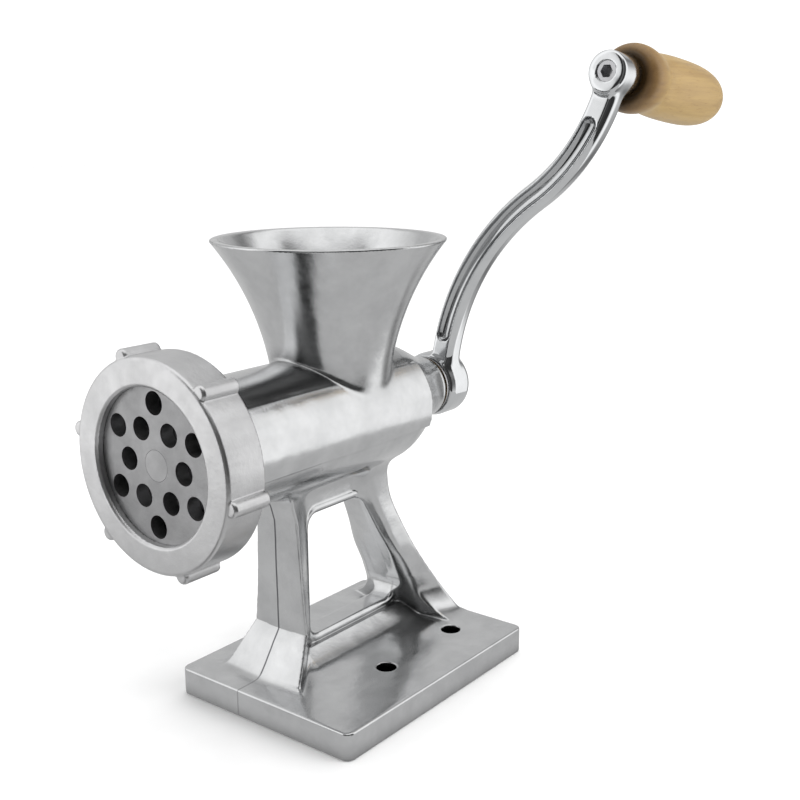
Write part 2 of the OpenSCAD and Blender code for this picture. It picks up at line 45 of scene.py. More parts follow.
# Sizes in mm, as in the part's source
AXIS = 95.3  # height of the barrel's axis
BARREL_R = 22
BORE_R = 19
TAPER_Y, TAPER_LEN, TAPER_DROP = 24, 27.2, 10.4  # the barrel's narrowing towards the crank
COLLAR_R = 29.5
PITCH, THREAD_DEPTH = 2.5, 0.75
THROAT_A = math.radians(8)  # slope of the hopper at its throat
THROAT_R, THROAT_Z = 20.885, 110.93
FLARE_R = 95
RIM_R, RIM_Z = 40.05, 156.7
HOPPER_WALL = 2.6
STAND_TOP, STAND_FOOT = 82, 4  # both inside other parts of the casting
WEB_HALF = 3.8
BASE_HALF_T = 4.85
BASE_ROUND = 3
POCKET_TOP = 3.5
BENCH_HOLE_X = 29
BENCH_HOLE_Y = (-6.7, 31.9)
BENCH_HOLE_R = 3.5
RING_FRONT, RING_BACK = -82.4, -67.7
RING_R, RING_ROUND, RING_BORE_R, RING_OPEN_R = 33.65, 1.2, 29.65, 24.5
LUG_TURN = math.radians(11)
LUG_STEP = math.radians(60)
ARM_START_X = 4.2
ARM_START_A, ARM_MID_A, ARM_BACK_A = math.radians(1.6), math.radians(55.6), math.radians(41.4)
ARM_LOW_R, ARM_HIGH_R = 92.0, 71.0
SLOT_START, SLOT_END = 20.8, 120.0
HUB_Y, HUB_HALF, HUB_ROUND = 55.15, 6.8, 3.4
CANT = math.radians(6.3)  # tilt of the grip's spindle
BOSS = (72.905, 61.35, 209.808)  # middle of the arm's upper boss


# ---------------------------------------------------------------- distance fields (mm)
def smin(a, b, k):
    h = np.maximum(k - np.abs(a - b), 0.0) / k
    return np.minimum(a, b) - h * h * h * k / 6.0


def smax(a, b, k):
    return -smin(-a, -b, k)


def intersect(*parts):
    """Sharp-edged intersection of any number of fields."""
    return functools.reduce(np.maximum, parts)


def rounded(qa, qb, r):
    """Distance to a corner of radius r, from the distances past its two sides, each moved in by r."""
    return np.hypot(np.maximum(qa, 0), np.maximum(qb, 0)) + np.minimum(np.maximum(qa, qb), 0) - r


def curve(t, v, n=400):
    """Smooth curve through the values v at the stations t, as a function of t."""
    t = np.array(t, float)
    v = np.array(v, float)
    m = np.gradient(v, t)
    tt = np.linspace(t[0], t[-1], n)
    i = np.clip(np.searchsorted(t, tt, side="right") - 1, 0, len(t) - 2)
    h = t[i + 1] - t[i]
    u = (tt - t[i]) / h
    vv = (
        v[i] * (1 + 2 * u) * (1 - u) ** 2
        + h * m[i] * u * (1 - u) ** 2
        + v[i + 1] * u * u * (3 - 2 * u)
        + h * m[i + 1] * u * u * (u - 1)
    )
    return lambda x: np.interp(x, tt, vv)


def convex(y, z, pts):
    """Distance to a convex counter-clockwise polygon in two coordinates."""
    d2 = np.full(np.broadcast(y, z).shape, 1e9)
    side = np.full(d2.shape, -1e9)
    for (y0, z0), (y1, z1) in zip(pts, pts[1:] + pts[:1]):
        ey, ez = y1 - y0, z1 - z0
        ll = math.hypot(ey, ez)
        t = np.clip(((y - y0) * ey + (z - z0) * ez) / ll**2, 0, 1)
        d2 = np.minimum(d2, (y - y0 - t * ey) ** 2 + (z - z0 - t * ez) ** 2)
        side = np.maximum(side, ((y - y0) * ez - (z - z0) * ey) / ll)
    return np.where(side > 0, np.sqrt(d2), -np.sqrt(d2))


def thread(ang, y):
    """Triangular thread, from 0 at the crest to THREAD_DEPTH at the root."""
    t = (y / PITCH + ang / (2 * math.pi)) % 1.0
    return THREAD_DEPTH * np.clip(1.5 * (1 - np.abs(2 * t - 1)) - 0.25, 0, 1)


# ---------------------------------------------------------------- meshing a field
def mesh_field(name, field, lo, hi, step):
    """Mesh of field == 0 inside the box lo..hi (mm), one vertex a cell, moved onto the surface."""
    lo, hi = np.array(lo, float) - 2 * step, np.array(hi, float) + 2 * step
    block = 4  # cells along a block's edge
    size = step * block
    n = np.ceil((hi - lo) / size).astype(int)
    grid = np.stack(np.meshgrid(*[np.arange(k) for k in n], indexing="ij"), -1).reshape(-1, 3)
    centre = lo + (grid + 0.5) * size
    keep = np.abs(field(centre[:, 0], centre[:, 1], centre[:, 2])) < size * 1.35
    blocks = grid[keep]
    o = np.arange(block + 1)
    off = np.stack(np.meshgrid(o, o, o, indexing="ij"), -1).reshape(-1, 3)
    val = np.empty((len(blocks), (block + 1) ** 3), np.float32)
    batch = 6000
    for s in range(0, len(blocks), batch):
        p = lo + (blocks[s : s + batch, None, :] * block + off[None]) * step
        val[s : s + batch] = field(p[..., 0], p[..., 1], p[..., 2])
    v = val.reshape(-1, block + 1, block + 1, block + 1)
    ins = v < 0
    corner = [(i, j, k) for i in (0, 1) for j in (0, 1) for k in (0, 1)]
    count = np.zeros((len(blocks), block, block, block), int)
    for i, j, k in corner:
        count += ins[:, i : block + i, j : block + j, k : block + k]
    q, ci, cj, ck = np.nonzero((count > 0) & (count < 8))
    cv = np.stack([v[q, ci + i, cj + j, ck + k] for i, j, k in corner], -1)
    # each vertex starts at the mean of its cell's edge crossings
    acc = np.zeros((len(q), 3))
    cnt = np.zeros(len(q))
    for a in range(8):
        for axis in range(3):
            bit = 4 >> axis
            if a & bit:
                continue
            c = a | bit
            cross = (cv[:, a] < 0) != (cv[:, c] < 0)
            t = cv[:, a] / np.where(cross, cv[:, a] - cv[:, c], 1)
            pos = np.tile(np.array(corner[a], float), (len(q), 1))
            pos[:, axis] = t
            acc += np.where(cross[:, None], pos, 0)
            cnt += cross
    cell = blocks[q] * block + np.stack([ci, cj, ck], -1)
    p = lo + (cell + acc / cnt[:, None]) * step
    dim = n * block + 2
    key = (cell[:, 0] * dim[1] + cell[:, 1]) * dim[2] + cell[:, 2]
    order = np.argsort(key)
    key, p, cell, cv = key[order], p[order], cell[order], cv[order]
    # each grid edge that crosses the surface joins the four cells round it
    stride = [dim[1] * dim[2], dim[2], 1]
    quads = []
    for axis in range(3):
        bit = 4 >> axis
        s0, s1 = cv[:, 0] < 0, cv[:, bit] < 0
        u, w = [a for a in range(3) if a != axis]
        for first, sel in ((True, s0 & ~s1), (False, ~s0 & s1)):
            k0 = key[sel]
            ring = [k0, k0 - stride[u], k0 - stride[u] - stride[w], k0 - stride[w]]
            idx = [np.clip(np.searchsorted(key, r), 0, len(key) - 1) for r in ring]
            ok = np.all([key[i] == r for i, r in zip(idx, ring)], 0)
            f = np.stack(idx, -1)[ok]
            if first == (axis != 1):
                f = f[:, ::-1]
            quads.append(f[:, ::-1])
    quads = np.concatenate(quads)

    def grad(x, e):
        g = np.empty_like(x)
        for a in range(3):
            d = np.zeros(3)
            d[a] = e
            up, dn = x + d, x - d
            g[:, a] = (field(*up.T) - field(*dn.T)) / (2 * e)
        return g

    for _ in range(2):
        g = grad(p, 0.05)
        move = -field(*p.T)[:, None] * g / np.maximum((g * g).sum(1), 0.2)[:, None]
        far = np.linalg.norm(move, axis=1)
        p = p + move * np.minimum(1, 0.6 * step / np.maximum(far, 1e-9))[:, None]
    nrm = grad(p, 0.12)
    nrm /= np.maximum(np.linalg.norm(nrm, axis=1), 1e-9)[:, None]
    me = bpy.data.meshes.new(name)
    me.vertices.add(len(p))
    me.vertices.foreach_set("co", (p * MM).astype(np.float32).ravel())
    me.loops.add(len(quads) * 4)
    me.loops.foreach_set("vertex_index", quads.astype(np.int32).ravel())
    me.polygons.add(len(quads))
    me.polygons.foreach_set("loop_start", np.arange(0, len(quads) * 4, 4, dtype=np.int32))
    me.update(calc_edges=True)
    me.polygons.foreach_set("use_smooth", np.ones(len(quads), bool))
    me.normals_split_custom_set_from_vertices(nrm.astype(np.float32))
    ob = bpy.data.objects.new(name, me)
    scene.collection.objects.link(ob)
    return ob


# ---------------------------------------------------------------- casting
def taper_r(y):
    u = np.clip((y - TAPER_Y) / TAPER_LEN, 0, 1)
    return BARREL_R - TAPER_DROP * (0.5 * u + 0.25 * (1 - np.cos(math.pi * u)))


def taper_c(y):
    u = (y - TAPER_Y) / TAPER_LEN
    slope = TAPER_DROP / TAPER_LEN * (0.5 + 0.25 * math.pi * np.sin(math.pi * u))
    g = np.where((u > 0) & (u < 1), slope, 0)
    return 1 / np.sqrt(1 + g * g)


def hopper(r, z, wall):
    """Steep cone below the throat, an arc that flares to the rim above it."""
    s = np.clip(math.sin(THROAT_A) + (z - THROAT_Z) / FLARE_R, math.sin(THROAT_A), 0.66)
    c = np.sqrt(1 - s * s)
    rad = THROAT_R + FLARE_R * (math.cos(THROAT_A) - c) + np.minimum(z - THROAT_Z, 0) * math.tan(THROAT_A)
    return (r - rad) * c + wall


# Front leg's stations: height, half width, and where its front edge stands
FRONT_Z = (8.7, 24.65, 38, 64.4, 73.3, 82)
FRONT_HALF = (18, 12.5, 11.2, 9.6, 9.4, 9.2)
FRONT_Y = (-40.9, -29.9, -29.9, -30.4, -33, -37)
FRONT_CROWN = 1.2
# Rear leg's stations: height, and x and y of its side ridge and of its back corner
REAR_Z = (8.7, 12.6, 17.3, 27.5, 39, 49.8, 61.2, 73.3, 82)
RIDGE_X = curve(REAR_Z, (26, 18.5, 14, 11.8, 11, 9.4, 8.4, 8.6, 9.2))
RIDGE_Y = curve(REAR_Z, (39, 36.5, 34, 29.5, 23.4, 18.6, 13.8, 10.2, 8.6))
BACK_X = curve(REAR_Z, (22.5, 19.5, 16.8, 14, 12, 10, 8.5, 8.5, 9))
BACK_Y = curve(REAR_Z, (49.6, 48.2, 46, 39.6, 32.4, 27.1, 22.4, 20.6, 20))
WINDOW = [(-13.4, 23.1), (23.8, 23.1), (6.15, 58.1), (-13.4, 58.1)]
WINDOW_ROUND = 5


def front_leg(ax, y, z):
    hw = np.interp(z, FRONT_Z, FRONT_HALF)
    yr = np.interp(z, FRONT_Z, FRONT_Y)
    lean = np.where(z < FRONT_Z[1], 0.69, 0.06)
    soft = np.sqrt(ax * ax + 0.2) - 0.3
    face = (yr + FRONT_CROWN * soft / hw - y) / np.sqrt(1 + lean**2 + (FRONT_CROWN / hw) ** 2)
    nx, ny = -18.4 - yr - FRONT_CROWN, hw - WEB_HALF
    ln = np.hypot(nx, ny)
    flank = ((ax - hw) * nx + (y - yr - FRONT_CROWN) * ny) / ln
    f = smax(face, flank, 1.3)
    return intersect(f, y + 15, z - STAND_TOP, STAND_FOOT - z)


def rear_leg(ax, y, z):
    xr, yr, xb, yb = RIDGE_X(z), RIDGE_Y(z), BACK_X(z), BACK_Y(z)
    n1 = np.hypot(5, xr - WEB_HALF)
    p1 = ((ax - xr) * 5 - (y - yr) * (xr - WEB_HALF)) / n1
    n2 = np.hypot(yb - yr, xb - xr)
    p2 = ((ax - xr) * (yb - yr) - (y - yr) * (xb - xr)) / n2
    p3 = ((ax - xb) * 1.2 + (y - yb) * xb) / np.hypot(1.2, xb)
    slope = np.interp(z, [8.7, 20, 40, 60, 80], [0.45, 0.6, 0.55, 0.4, 0.1])
    f = smax(smax(p1, p2, 1.6), p3, 1.6) / np.sqrt(1 + slope**2)
    return intersect(f, yr - 5 - y, z - STAND_TOP, STAND_FOOT - z)


def casting(x, y, z):
    ax = np.abs(x)
    zc = z - AXIS
    rho = np.hypot(x, zc)
    r = np.hypot(x, y)
    # barrel with its flare and threaded collar
    tube = smax((rho - taper_r(y)) * taper_c(y), np.abs(y + 9.2) - 61.7, 0.8)
    ridge = np.where(rho > 26, thread(np.arctan2(zc, x), y), 0)
    collar = smax(rho - COLLAR_R + ridge, np.abs(y + 72.2) - 5.2, 0.8)
    fill = intersect(8.2 - np.hypot(rho - 30.2, y + 58.2), rho - 29.4, y + 58.2, -68 - y)
    out = smin(np.minimum(tube, fill), collar, 0.5)
    # plain panel on the flank, which fades out towards its upper edge
    rise = 0.75 * np.clip((16 - zc) / 11, 0, 1) ** 1.5
    panel = smax(rho - BARREL_R - rise, smax(np.abs(y + 17) - 46, np.abs(zc - 4) - 11.5, 1.5), 0.35)
    out = smin(out, np.maximum(panel, -x), 0.3)
    hop = intersect(hopper(r, z, 0), r - RIM_R, AXIS - z)
    out = smin(out, hop, 2.0)
    # stand
    web_back = (y - 34.3 + (z - 25.4) * 0.504) * 0.89
    web = intersect(ax - WEB_HALF, -24 - y, web_back, z - STAND_TOP, STAND_FOOT - z)
    u = np.clip((ax - 5.6) / 14, 0, 1)
    fade = np.clip((y + 35) / 12, 0, 1) * np.clip((46 - y) / 14, 0, 1)
    top = 2 * BASE_HALF_T + 5.5 * (1 - u) ** 2.3 * fade - 4 * u * u
    foot = smax((z - top) * 0.8, intersect(ax - 19.6, -33 - y, y - 44), 0.6)
    stand = smin(front_leg(ax, y, z), web, 3.0)
    stand = smin(stand, rear_leg(ax, y, z), 3.0)
    stand = smin(stand, np.maximum(foot, STAND_FOOT - z), 1.2)
    win = convex(y, z, WINDOW) - WINDOW_ROUND
    stand = smax(stand, -win, 0.8)
    bead = np.maximum(np.hypot(win - 1.4, np.maximum(ax - 3.2, 0)) - 1.4, ax - 6)
    stand = smin(stand, bead, 0.7)
    out = smin(out, stand, 6.0)
    # base plate with its pockets
    rim = rounded(np.abs(x - 10.5) - 35.5, np.abs(y) - 47.5, BASE_ROUND)
    base = smax(rim, np.abs(z - BASE_HALF_T) - BASE_HALF_T, 1.3)
    out = smin(out, base, 3.0)
    left = intersect(np.abs(x + 15.5) - 7.5, np.abs(y) - 45.5, z - POCKET_TOP)
    right = intersect(np.abs(x - 26) - 18, np.abs(y) - 45.5, z - POCKET_TOP)
    hole = np.minimum(*[np.hypot(x - BENCH_HOLE_X, y - hole_y) for hole_y in BENCH_HOLE_Y])
    right = np.maximum(right, 8 - hole)
    out = smax(out, -np.minimum(left, right), 0.8)
    out = smax(out, np.minimum(BENCH_HOLE_R - hole, 20 - z), 0.7)
    # inside of the barrel and the hopper
    pocket = np.maximum(rho - 27.05, y + 74.6)
    chamber = np.maximum((rho - np.interp(y, [-66.4, -62], [24.6, BORE_R])) * 0.62, y + 62)
    bore = intersect((rho - np.interp(y, [26, 40], [BORE_R, 13])) * 0.92, y - 40, -62 - y)
    journal = np.maximum(rho - 9.45, 39 - y)
    bowl = np.maximum(hopper(r, z, HOPPER_WALL), AXIS - z)
    inside = functools.reduce(np.minimum, (pocket, chamber, bore, journal, bowl))
    out = smax(out, -inside, 0.9)
    return smax(out, z - RIM_Z, 0.9)


# ---------------------------------------------------------------- ring nut
def ring_nut(x, y, z):
    zc = z - AXIS
    rho = np.hypot(x, zc)
    ang = np.arctan2(zc, x)
    edge = rounded(rho - RING_R + RING_ROUND, RING_FRONT + RING_ROUND - y, RING_ROUND)
    f = smax(edge, y - RING_BACK, 0.7)
    a = (ang + LUG_TURN + LUG_STEP / 2) % LUG_STEP - LUG_STEP / 2
    rr = np.hypot(rho * np.cos(a) - 33.85, rho * np.sin(a))
    lug = np.hypot(np.maximum(rr - 1.5, 0), np.maximum(RING_FRONT + 1.6 - y, 0)) - 1.1
    f = smin(f, smax(lug, y - RING_BACK + 0.3, 0.6), 0.6)
    bore = np.maximum(rho - RING_BORE_R - THREAD_DEPTH + thread(ang, y), -79.6 - y)
    bore = np.minimum(bore, rho - RING_OPEN_R - np.clip(RING_FRONT + 0.7 - y, 0, 1))
    return smax(f, -bore, 0.5)


# ---------------------------------------------------------------- crank
def crank(x, y, z):
    zc = z - AXIS
    a0, am = ARM_START_A, ARM_MID_A
    # middle line: two arcs that meet at mid, with d across it and s along it
    c1 = (ARM_START_X + ARM_LOW_R * math.cos(a0), -ARM_LOW_R * math.sin(a0))
    mid = (c1[0] - ARM_LOW_R * math.cos(am), c1[1] + ARM_LOW_R * math.sin(am))
    c2 = (mid[0] - ARM_HIGH_R * math.cos(am), mid[1] + ARM_HIGH_R * math.sin(am))
    t1 = np.arctan2(zc - c1[1], c1[0] - x)
    d1 = ARM_LOW_R - np.hypot(x - c1[0], zc - c1[1])
    t2 = np.arctan2(c2[1] - zc, x - c2[0])
    d2 = np.hypot(x - c2[0], zc - c2[1]) - ARM_HIGH_R
    low = (x - mid[0]) * math.sin(am) + (zc - mid[1]) * math.cos(am) < 0
    d = np.where(low, d1, d2)
    s = np.where(low, ARM_LOW_R * (t1 - a0), ARM_LOW_R * (am - a0) + ARM_HIGH_R * (am - t2))
    total = ARM_LOW_R * (am - a0) + ARM_HIGH_R * ARM_BACK_A
    # section: flat front with soft edges, rounder behind
    yc = y - 61.1
    rad = np.where(yc < 0, 0.8, 3.0)
    bar = rounded(np.abs(d) - 4.7 + rad, np.abs(yc) - 4.55 + rad, rad)
    bar = smax(bar, (np.abs(d) * 0.87 - yc * 0.5) - 5.15, 1.0)
    bar = smax(bar, np.maximum(-s - 2, s - total + 2), 1.0)
    end = np.maximum(np.maximum(SLOT_START - s, s - SLOT_END), 0)
    slot = np.hypot(np.hypot(d, end), (y - 56.3) * 1.08) - 2.75
    bar = smax(bar, -slot, 0.5)
    # hub
    rho = np.hypot(x, zc)
    hy = y - HUB_Y
    hub_r = np.interp(hy, [0, 3], [11.6, 12.4])
    hub_back = rounded(rho - hub_r + HUB_ROUND, np.abs(hy - HUB_HALF) - HUB_HALF + HUB_ROUND, HUB_ROUND)
    hub = np.where(hy > HUB_HALF, hub_back, smax(rho - hub_r, -hy, 1.2))
    # boss on the spindle's axis
    by, bz = y - BOSS[1], z - BOSS[2]
    sy = by * math.cos(CANT) - bz * math.sin(CANT)
    sz = by * math.sin(CANT) + bz * math.cos(CANT)
    br = np.hypot(x - BOSS[0], sz)
    boss = smax(br - 6.95, np.abs(sy) - 6.0, 2.2)
    f = smin(smin(bar, hub, 3.5), boss, 3.5)
    hole = np.minimum(np.maximum(rho - 7.9, 62.55 - y), br - 3.42)
    square = np.maximum(np.abs(x), np.abs(zc)) - 4.85
    f = smax(f, -hole, 0.6)
    return smax(f, -square, 0.4)


def bmesh_object(name, bm):
    """Turns a bmesh into an object in the scene."""
    me = bpy.data.meshes.new(name)
    bm.to_mesh(me)
    bm.free()
    ob = bpy.data.objects.new(name, me)
    scene.collection.objects.link(ob)
    return ob


# ---------------------------------------------------------------- grip, turned about the spindle
def lathe(name, profile, n=128):
    """Closed outline [(radius, distance)] in mm turned about the spindle's axis."""
    origin = Vector(BOSS) * MM
    axis = Vector((0, math.cos(CANT), -math.sin(CANT)))
    e1 = Vector((1, 0, 0))
    e2 = axis.cross(e1)
    bm = bmesh.new()
    rings = []
    for r, s in profile:
        ring = []
        for i in range(n):
            t = 2 * math.pi * i / n
            point = axis * s + e1 * (r * math.cos(t)) + e2 * (r * math.sin(t))
            ring.append(bm.verts.new(origin + point * MM))
        rings.append(ring)
    for a, b in zip(rings, rings[1:] + rings[:1]):
        for i in range(n):
            bm.faces.new((a[i], b[i], b[(i + 1) % n], a[(i + 1) % n]))
    bmesh.ops.recalc_face_normals(bm, faces=bm.faces)
    for f in bm.faces:
        f.smooth = True
    return bmesh_object(name, bm)


def grip_profile():
    """Outline as (radius, distance from the boss's middle), with a recess in the far end."""
    start = 7.35
    outer = curve(
        (0.6, 1.6, 3.2, 6, 9, 12, 14.5, 17, 21, 27, 34, 42, 49, 55, 59.5, 63, 65.2, 66.3),
        (9.9, 10.75, 11.40, 11.63, 11.35, 10.75, 10.25, 10.3, 10.75, 11.1, 11.25, 11.25, 11.05, 10.5, 9.7,
         8.6, 7.5, 6.5),
    )
    pts = [(3.5, 1.2), (6.4, 1.2), (7.4, 0.5), (8.2, 0.1), (9.2, 0.15)]
    pts += [(float(outer(s)), s) for s in np.linspace(0.6, 66.3, 110)]
    pts += [(6.1, 67.0), (5.75, 67.4), (5.3, 67.4), (5.05, 67.0), (5.05, 62.4), (4.8, 62.15), (3.5, 62.1)]
    return [(r, start + s) for r, s in pts] + [(3.5, start + 35)]


# ---------------------------------------------------------------- material helpers
class Tree:
    """Short ways to add nodes to a tree. A socket is linked, and anything else is set as a value."""

    def __init__(self, tree):
        self.t = tree

    def new(self, kind, **kw):
        n = self.t.nodes.new(kind)
        for k, v in kw.items():
            setattr(n, k, v)
        return n

    def plug(self, value, socket):
        if hasattr(value, "links"):
            self.t.links.new(value, socket)
        else:
            socket.default_value = value

    def math(self, operation, *args):
        n = self.new("ShaderNodeMath", operation=operation)
        for value, socket in zip(args, n.inputs):
            self.plug(value, socket)
        return n.outputs[0]

    def vector(self, operation, *args):
        n = self.new("ShaderNodeVectorMath", operation=operation)
        for value, socket in zip(args, n.inputs):
            self.plug(value, socket)
        return n.outputs["Value" if operation in ("LENGTH", "DISTANCE") else "Vector"]

    def split(self, vec):
        n = self.new("ShaderNodeSeparateXYZ")
        self.plug(vec, n.inputs[0])
        return n.outputs

    def mix(self, fac, a, b, **kw):
        n = self.new("ShaderNodeMix", **{"data_type": "RGBA", **kw})
        self.plug(fac, n.inputs["Factor"])
        self.plug(a, n.inputs["A"])
        self.plug(b, n.inputs["B"])
        return n.outputs["Result"]

    def fit(self, fac, a, b, lo, hi, **kw):
        n = self.new("ShaderNodeMapRange", **kw)
        for k, v in zip(("Value", "From Min", "From Max", "To Min", "To Max"), (fac, a, b, lo, hi)):
            self.plug(v, n.inputs[k])
        return n.outputs["Result"]

    def ramp(self, fac, stops, interpolation="LINEAR"):
        n = self.new("ShaderNodeValToRGB")
        n.color_ramp.interpolation = interpolation
        els = n.color_ramp.elements
        while len(els) < len(stops):
            els.new(0.5)
        for e, (pos, col) in zip(els, stops):
            e.position = pos
            e.color = (*col, 1)
        self.plug(fac, n.inputs["Fac"])
        return n.outputs["Color"]


class Nodes(Tree):
    """A material's tree, with its shader and the object's own coordinates."""

    def __init__(self, name):
        self.mat = bpy.data.materials.new(name)
        self.mat.use_nodes = True
        super().__init__(self.mat.node_tree)
        self.b = self.t.nodes["Principled BSDF"]
        self.co = self.new("ShaderNodeTexCoord").outputs["Object"]

    def scaled(self, sx, sy, sz, rot=(0, 0, 0)):
        n = self.new("ShaderNodeMapping")
        n.inputs["Scale"].default_value = (sx, sy, sz)
        n.inputs["Rotation"].default_value = rot
        self.plug(self.co, n.inputs["Vector"])
        return n.outputs["Vector"]

    def noise(self, scale, detail=4.0, rough=0.55, vec=None, distort=0.0):
        n = self.new("ShaderNodeTexNoise")
        n.inputs["Scale"].default_value = scale
        n.inputs["Detail"].default_value = detail
        n.inputs["Roughness"].default_value = rough
        n.inputs["Distortion"].default_value = distort
        self.plug(vec if vec is not None else self.co, n.inputs["Vector"])
        return n.outputs["Fac"]

    def bump(self, height, strength, dist, under=None):
        n = self.new("ShaderNodeBump")
        n.inputs["Strength"].default_value = strength
        n.inputs["Distance"].default_value = dist
        self.plug(height, n.inputs["Height"])
        if under is not None:
            self.plug(under, n.inputs["Normal"])
        return n.outputs["Normal"]

    def painted_cavity_shade(self, col, dist, lo, hi, dark):
        """The colour with painted shade, darkened where the surface is hemmed in."""
        n = self.new("ShaderNodeAmbientOcclusion", samples=6)
        n.inputs["Distance"].default_value = dist
        shade = self.ramp(n.outputs["AO"], [(lo, (dark,) * 3), (hi, (1, 1, 1))])
        return self.mix(1.0, col, shade, blend_type="MULTIPLY")

    def set(self, **kw):
        for k, v in kw.items():
            self.plug(v, self.b.inputs[k.replace("_", " ")])


def metal(
    name, dark, light, r_lo, r_hi, grain, wave=0.0, grain_scale=900.0, wave_scale=55.0, extra=None, painted_cavity_shade=None
):
    """Metal with blotches, streaked roughness and a fine grain; wave adds slow unevenness from polishing."""
    n = Nodes(name)
    col = n.ramp(n.noise(90, 5, 0.6), [(0.35, dark), (0.65, light)])
    streak = n.noise(260, 3, 0.6, vec=n.scaled(1, 0.12, 1))
    rough = n.fit(streak, 0.3, 0.7, r_lo, r_hi)
    nrm = n.bump(n.noise(grain_scale, 3, 0.6), grain, 0.0003)
    if wave:
        nrm = n.bump(n.noise(wave_scale, 2, 0.45), wave, 0.004, under=nrm)
    if extra:
        col, nrm = extra(n, col, nrm)
    # painted shade in hollows, from ambient occlusion
    if painted_cavity_shade:
        col = n.painted_cavity_shade(col, *painted_cavity_shade)
    n.set(Base_Color=col, Metallic=1.0, Roughness=rough, Normal=nrm)
    return n.mat


def seam_and_hole_painted_shade(n, col, nrm):
    """Mould seam down the front leg and over the base's edge, a fine groove whose darkness is painted shade,
    and painted shade in the bench holes.
    """
    sep = n.split(n.co)
    wander = n.math("MULTIPLY_ADD", n.noise(45, 3, 0.6), 0.0010, -0.0005)
    dist = n.math("ABSOLUTE", n.math("ADD", sep["X"], wander))
    seam_and_painted_shade = n.math("MULTIPLY", n.fit(dist, 0.00012, 0.00048, 1, 0), n.fit(sep["Y"], -0.0275, -0.0285, 0, 1))
    seam_and_painted_shade = n.math("MULTIPLY", seam_and_painted_shade, n.fit(sep["Z"], 0.080, 0.076, 0, 1))
    seam_and_painted_shade = n.math("MULTIPLY", seam_and_painted_shade, n.fit(sep["Z"], 0.0095, 0.0115, 0.35, 1))
    # painted shade in the seam's groove
    col = n.mix(seam_and_painted_shade, col, (0.10, 0.10, 0.11, 1))
    dent = n.bump(seam_and_painted_shade, -0.6, 0.0004, under=nrm)
    # painted shade, nearly black, on the bench holes' walls
    near = []
    for hole_y in BENCH_HOLE_Y:
        flat = n.vector("MULTIPLY", n.co, (1, 1, 0))
        away = n.vector("DISTANCE", flat, (BENCH_HOLE_X * MM, hole_y * MM, 0))
        near.append(n.fit(away, 0.0040, 0.0038, 0, 1))
    hole_shade = n.math("MULTIPLY", n.math("MAXIMUM", *near), n.fit(sep["Z"], 0.0094, 0.0080, 0, 1))
    return n.mix(hole_shade, col, (0.03, 0.03, 0.03, 1)), dent


def wood():
    n = Nodes("turned_wood")
    along = n.scaled(1, 0.06, 1, rot=(0.1, 0, 0.05))
    figure = n.noise(75, 3, 0.5, vec=along, distort=0.6)
    fibre = n.noise(620, 5, 0.7, vec=n.scaled(1, 0.045, 1))
    pores = n.noise(1500, 2, 0.5, vec=n.scaled(1, 0.10, 1))
    grain = n.mix(0.45, figure, fibre, data_type="FLOAT")
    tone = n.ramp(
        grain, [(0.30, (0.27, 0.16, 0.05)), (0.5, (0.40, 0.262, 0.092)), (0.70, (0.50, 0.345, 0.135))]
    )
    dots = n.ramp(pores, [(0.60, (1, 1, 1)), (0.75, (0.72, 0.62, 0.50))])
    col = n.mix(0.7, tone, dots, blend_type="MULTIPLY")
    # painted shade: the end by the arm is darker where the boss and arm shade it
    boss_end_shade = n.ramp(
        n.fit(n.split(n.co)["Y"], 0.069, 0.081, 0, 1),
        [(0.0, (0.34, 0.27, 0.17)), (0.45, (0.68, 0.60, 0.46)), (1.0, (1, 1, 1))],
    )
    # painted shade in the grip's hollows, from ambient occlusion
    col = n.painted_cavity_shade(n.mix(1.0, col, boss_end_shade, blend_type="MULTIPLY"), 0.008, 0.5, 0.95, 0.35)
    rough = n.fit(fibre, 0.3, 0.7, 0.40, 0.55)
    n.set(Base_Color=col, Roughness=rough, Normal=n.bump(fibre, 0.10, 0.0003))
    n.set(Coat_Weight=0.25, Coat_Roughness=0.25)
    return n.mat


def nylon():
    n = Nodes("nylon")
    col = n.ramp(n.noise(200), [(0.3, (0.70, 0.68, 0.61)), (0.7, (0.76, 0.74, 0.67))])
    n.set(Base_Color=col, Roughness=0.45)
    return n.mat


# ---------------------------------------------------------------- camera and studio
def add_camera():
    cam_data = bpy.data.cameras.new("camera")
    cam = bpy.data.objects.new("camera", cam_data)
    scene.collection.objects.link(cam)
    az, el, roll = math.radians(38.02), math.radians(13.90), math.radians(-0.266)
    back = Vector((math.sin(az) * math.cos(el), -math.cos(az) * math.cos(el), math.sin(el)))
    right = Vector((math.cos(az), math.sin(az), 0.0))
    up = back.cross(right)
    r2 = math.cos(roll) * right + math.sin(roll) * up
    u2 = -math.sin(roll) * right + math.cos(roll) * up
    m = Matrix((r2, u2, back)).transposed().to_4x4()
    m.translation = Vector((0.26119, -0.29584, 0.19624))
    cam.matrix_world = m
    cam_data.sensor_width = 36.0
    cam_data.lens = 52.12
    cam_data.shift_x = 0.00125
    cam_data.shift_y = 0.0041
    cam_data.clip_start = 0.01
    cam_data.clip_end = 20.0
    scene.camera = cam


def area(name, loc, target, size, power):
    """Square light that mirrors don't show."""
    d = bpy.data.lights.new(name, "AREA")
    d.shape = "RECTANGLE"
    d.size = d.size_y = size
    d.energy = power
    o = bpy.data.objects.new(name, d)
    scene.collection.objects.link(o)
    o.location = loc
    o.rotation_mode = "QUATERNION"
    o.rotation_quaternion = (Vector(target) - Vector(loc)).to_track_quat("-Z", "Y")
    o.visible_glossy = False


def add_floor():
    bm = bmesh.new()
    bmesh.ops.create_grid(bm, x_segments=8, y_segments=8, size=4.0)
    floor = bmesh_object("floor", bm)
    n = Nodes("pale_floor")
    col = n.ramp(n.noise(40, 3, 0.5), [(0.3, (0.86,) * 3), (0.7, (0.90,) * 3)])
    n.set(Base_Color=col, Roughness=0.8, Specular_IOR_Level=0.1)
    floor.data.materials.append(n.mat)
    floor.visible_glossy = False


